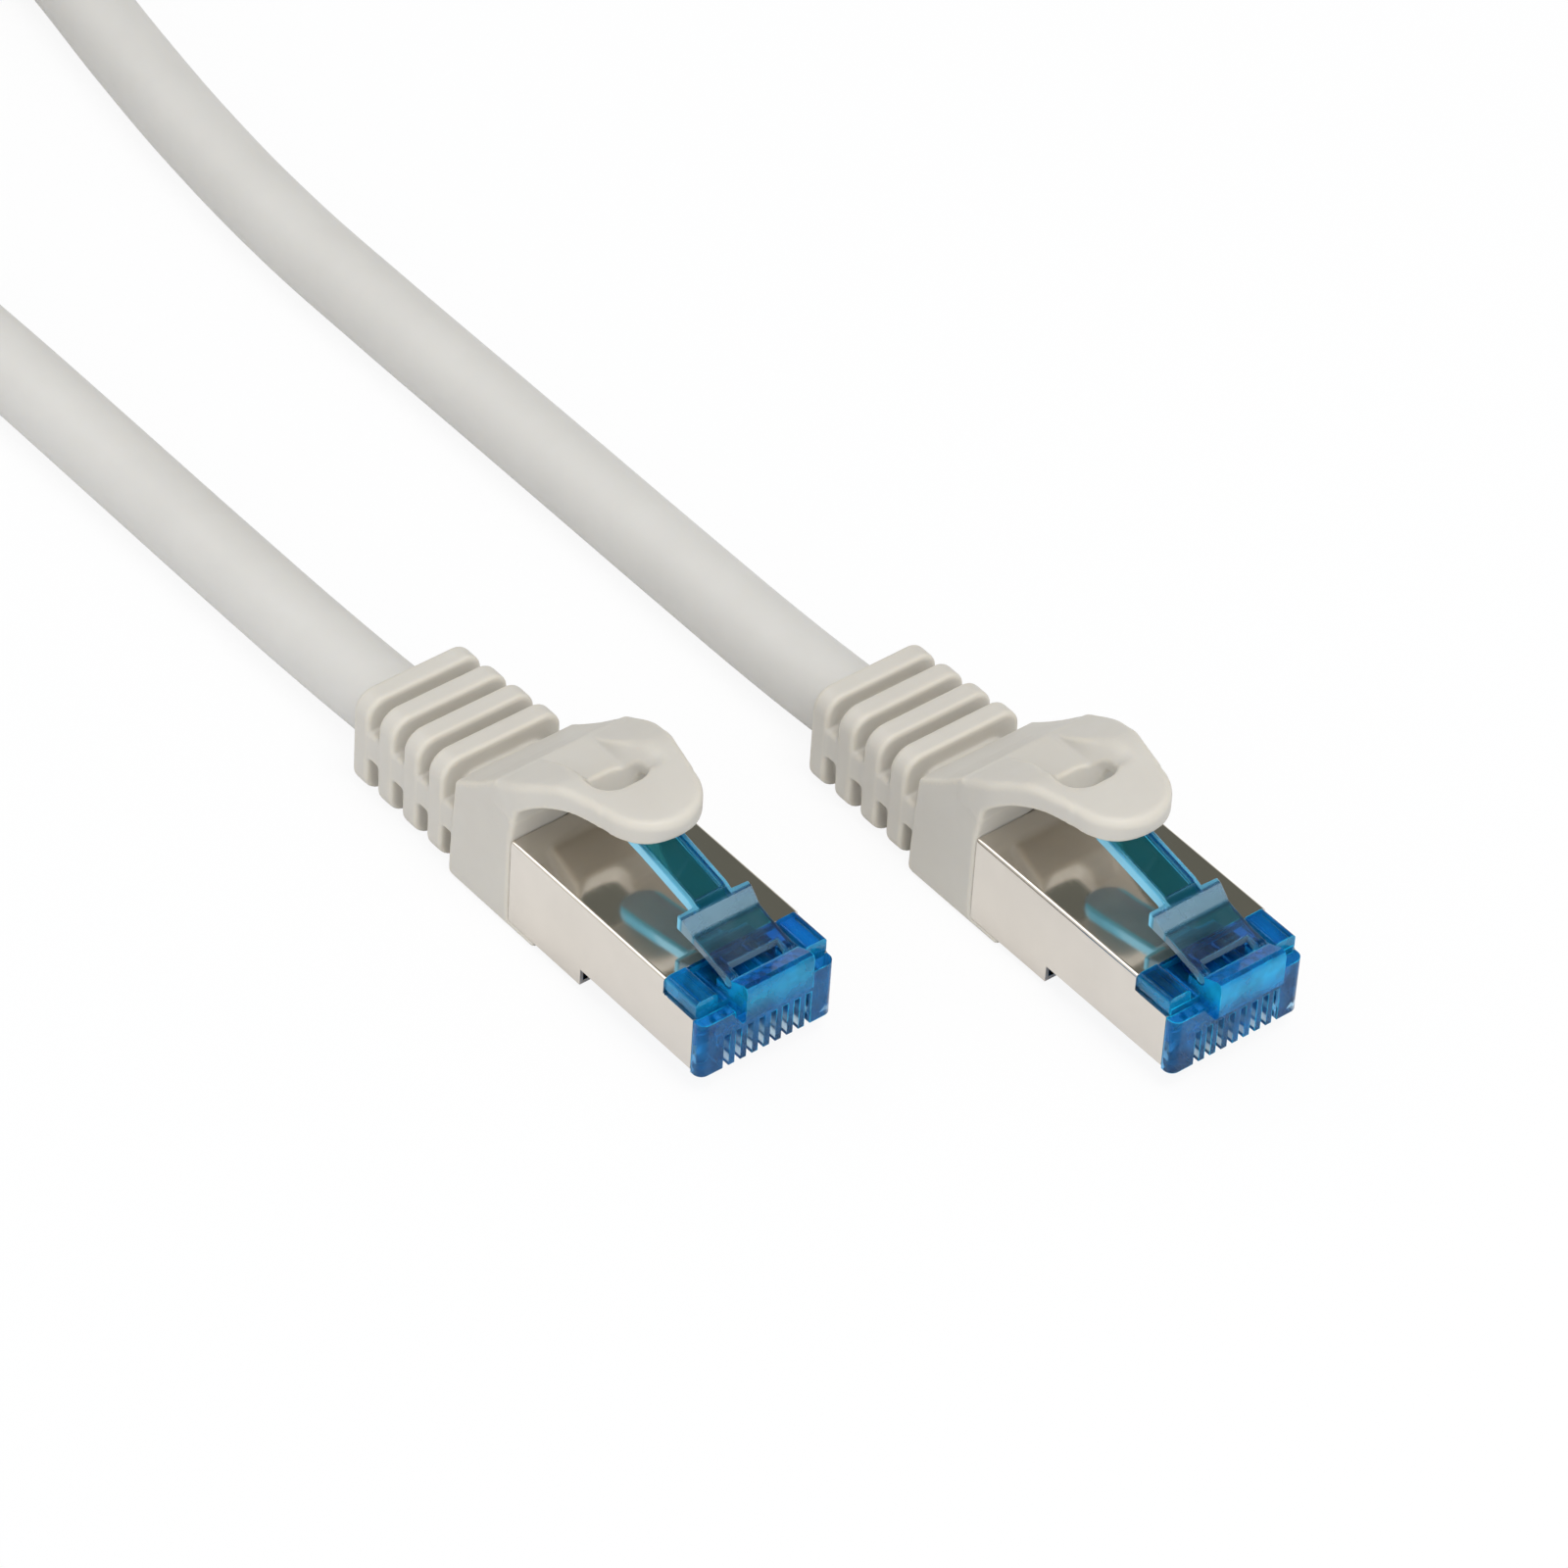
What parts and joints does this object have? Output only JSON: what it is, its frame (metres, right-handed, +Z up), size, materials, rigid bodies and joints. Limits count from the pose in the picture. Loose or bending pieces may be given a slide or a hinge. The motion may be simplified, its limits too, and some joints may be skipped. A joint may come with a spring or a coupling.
{
  "type": "ethernet patch cable",
  "caption": "Round grey shielded network patch cord with translucent blue modular plugs, sprung latches, ribbed snagless boots and its spare length tied in a hank.",
  "frame": {"origin": "midpoint between the plugs, on the plane that the boots rest on", "axes": "+Y from the plug fronts back along the cord, +Z up to the latches, +X to the right seen from behind the plugs' fronts"},
  "size_m": [0.0462, 0.3138, 0.0156],
  "materials": {
    "blue_polycarbonate": "translucent gloss",
    "cyan_polycarbonate": "translucent gloss",
    "gold_contact": "gold flash",
    "nickel_plate": "satin nickel",
    "white_nylon": "plain",
    "wire_orange": "smooth",
    "wire_green": "smooth",
    "wire_blue": "smooth",
    "wire_brown": "smooth",
    "grey_jacket": "satin",
    "grey_pvc": "satin",
    "tinned_braid": "woven",
    "black_tie": "satin"
  },
  "bodies": {
    "plugs_and_cord": {"housing_a": "blue_polycarbonate", "contacts_a": "gold_contact", "shield_shell_a": "nickel_plate", "wire_guide_a": "white_nylon", "pair_orange_a": "wire_orange", "pair_green_a": "wire_green", "pair_blue_a": "wire_blue", "pair_brown_a": "wire_brown", "jacket_end_a": "grey_jacket", "braid_collar_a": "tinned_braid", "boot_a": "grey_pvc", "housing_b": "blue_polycarbonate", "contacts_b": "gold_contact", "shield_shell_b": "nickel_plate", "wire_guide_b": "white_nylon", "pair_orange_b": "wire_orange", "pair_green_b": "wire_green", "pair_blue_b": "wire_blue", "pair_brown_b": "wire_brown", "jacket_end_b": "grey_jacket", "braid_collar_b": "tinned_braid", "boot_b": "grey_pvc", "cord_lead_a": "grey_jacket", "cord_hank": "grey_jacket", "cord_lead_b": "grey_jacket", "hank_tie_left": "black_tie", "hank_tie_right": "black_tie"},
    "latch_a": {"latch_lever_a": "cyan_polycarbonate"},
    "guard_a": {"latch_guard_a": "grey_pvc"},
    "latch_b": {"latch_lever_b": "cyan_polycarbonate"},
    "guard_b": {"latch_guard_b": "grey_pvc"}
  },
  "joints": [
    {"name": "guard_press_a", "type": "hinge", "parent": "plugs_and_cord", "child": "guard_a", "pos_m": [-0.0132, 0.01232, 0.01105], "axis": [1, 0, 0], "range_deg": [0, 12], "stiffness_Nm_per_rad": 0.002, "springref_deg": -1.72},
    {"name": "latch_press_a", "type": "hinge", "parent": "plugs_and_cord", "child": "latch_a", "pos_m": [-0.0132, -0.00863, 0.00845], "axis": [-1, 0, 0], "range_deg": [0, 10]},
    {"name": "guard_press_b", "type": "hinge", "parent": "plugs_and_cord", "child": "guard_b", "pos_m": [0.0132, -0.00628, 0.01105], "axis": [1, 0, 0], "range_deg": [0, 12], "stiffness_Nm_per_rad": 0.002, "springref_deg": -1.72},
    {"name": "latch_press_b", "type": "hinge", "parent": "plugs_and_cord", "child": "latch_b", "pos_m": [0.0132, -0.02722, 0.00845], "axis": [-1, 0, 0], "range_deg": [0, 10]}
  ],
  "couplings": [
    {"joint": "latch_press_a", "follows": "guard_press_a", "ratio": 0.8},
    {"joint": "latch_press_b", "follows": "guard_press_b", "ratio": 0.8}
  ]
}
